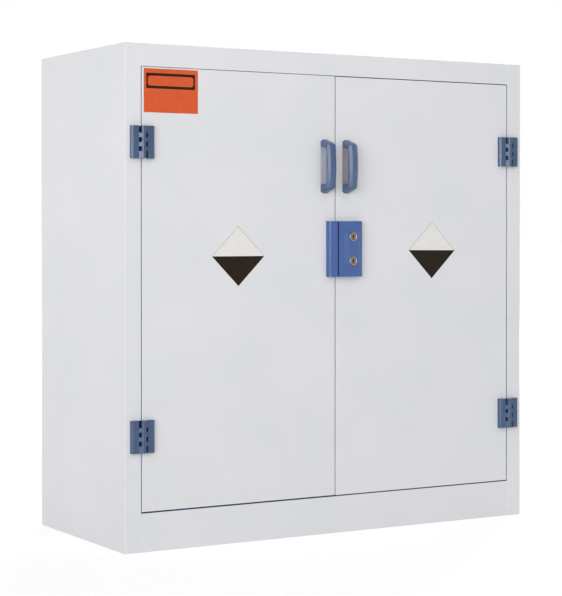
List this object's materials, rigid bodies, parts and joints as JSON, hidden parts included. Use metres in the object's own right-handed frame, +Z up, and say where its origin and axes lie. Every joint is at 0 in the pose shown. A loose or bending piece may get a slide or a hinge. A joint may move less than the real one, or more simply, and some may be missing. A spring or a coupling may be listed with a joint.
{
  "type": "two-door acid storage cabinet",
  "caption": "Free-standing white plastic cabinet for corrosive reagents: hinged flush doors, moulded blue hinges, bow handles, a key-locked case and a spill-tray shelf inside.",
  "frame": {"origin": "centre of the cabinet body's footprint, on the floor", "axes": "+Z up, the doors face -Y, +X to the right as seen from the doors"},
  "size_m": [1.09, 0.495, 1.12],
  "materials": {
    "white_plastic": "white polypropylene sheet, satin",
    "white_inner_plastic": "white polypropylene sheet, satin",
    "blue_plastic": "moulded blue polypropylene, satin",
    "blue_strip": "dark blue extruded strip",
    "steel": "stainless steel",
    "brass": "turned brass, worn nickel plating"
  },
  "bodies": {
    "root": {"back_panel": "white_plastic", "base_rib_left": "white_plastic", "base_rib_middle": "white_plastic", "base_rib_right": "white_plastic", "bottom_rail": "white_plastic", "door_stop_bottom": "blue_strip", "door_stop_left": "blue_strip", "door_stop_right": "blue_strip", "door_stop_top": "blue_strip", "floor_panel": "white_plastic", "left_lower_hinge_frame_leaf": "blue_plastic", "left_lower_hinge_pin": "steel", "left_side_panel": "white_plastic", "left_stile": "white_plastic", "left_stile_hinge_screws": "steel", "left_upper_hinge_frame_leaf": "blue_plastic", "left_upper_hinge_pin": "steel", "right_lower_hinge_frame_leaf": "blue_plastic", "right_lower_hinge_pin": "steel", "right_side_panel": "white_plastic", "right_stile": "white_plastic", "right_stile_hinge_screws": "steel", "right_upper_hinge_frame_leaf": "blue_plastic", "right_upper_hinge_pin": "steel", "shelf_clips": "blue_plastic", "shelf_stiffeners": "white_inner_plastic", "shelf_strip_left_front": "white_inner_plastic", "shelf_strip_left_rear": "white_inner_plastic", "shelf_strip_right_front": "white_inner_plastic", "shelf_strip_right_rear": "white_inner_plastic", "shelf_tray": "white_inner_plastic", "top_panel": "white_plastic", "top_rail": "white_plastic"},
    "left_door": {"left_door_panel": "white_plastic", "left_door_liner": "white_plastic", "left_handle": "blue_plastic", "left_door_hinge_screws": "steel", "left_handle_screws": "steel", "left_upper_hinge_door_leaf": "blue_plastic", "left_lower_hinge_door_leaf": "blue_plastic", "lock_keeper": "blue_plastic", "keeper_screws": "steel"},
    "right_door": {"right_door_panel": "white_plastic", "right_door_liner": "white_plastic", "right_handle": "blue_plastic", "right_door_hinge_screws": "steel", "right_handle_screws": "steel", "right_upper_hinge_door_leaf": "blue_plastic", "right_lower_hinge_door_leaf": "blue_plastic", "lock_case": "blue_plastic", "lock_case_screws": "steel", "upper_cylinder_body": "brass", "lower_cylinder_body": "brass"},
    "upper_plug": {"upper_key_plug": "brass"},
    "upper_bolt": {"upper_lock_bolt": "steel"},
    "lower_plug": {"lower_key_plug": "brass"},
    "lower_bolt": {"lower_lock_bolt": "steel"}
  },
  "joints": [
    {"name": "left_door_hinge", "type": "hinge", "parent": "root", "child": "left_door", "pos_m": [-0.5039, -0.2405, 0.579], "axis": [0, 0, -1], "range_deg": [0, 165]},
    {"name": "right_door_hinge", "type": "hinge", "parent": "root", "child": "right_door", "pos_m": [0.5039, -0.2405, 0.579], "axis": [0, 0, 1], "range_deg": [0, 165]},
    {"name": "upper_key_turn", "type": "hinge", "parent": "right_door", "child": "upper_plug", "pos_m": [0.0365, -0.23, 0.6933], "axis": [0, -1, 0], "range_deg": [0, 90]},
    {"name": "upper_bolt_throw", "type": "slide", "parent": "right_door", "child": "upper_bolt", "axis": [-1, 0, 0], "range_m": [0, 0.009]},
    {"name": "lower_key_turn", "type": "hinge", "parent": "right_door", "child": "lower_plug", "pos_m": [0.0365, -0.23, 0.6367], "axis": [0, -1, 0], "range_deg": [0, 90]},
    {"name": "lower_bolt_throw", "type": "slide", "parent": "right_door", "child": "lower_bolt", "axis": [-1, 0, 0], "range_m": [0, 0.009]}
  ],
  "couplings": [
    {"joint": "upper_key_turn", "follows": "upper_bolt_throw", "rad_per_m": 174.53},
    {"joint": "lower_key_turn", "follows": "lower_bolt_throw", "rad_per_m": 174.53}
  ]
}
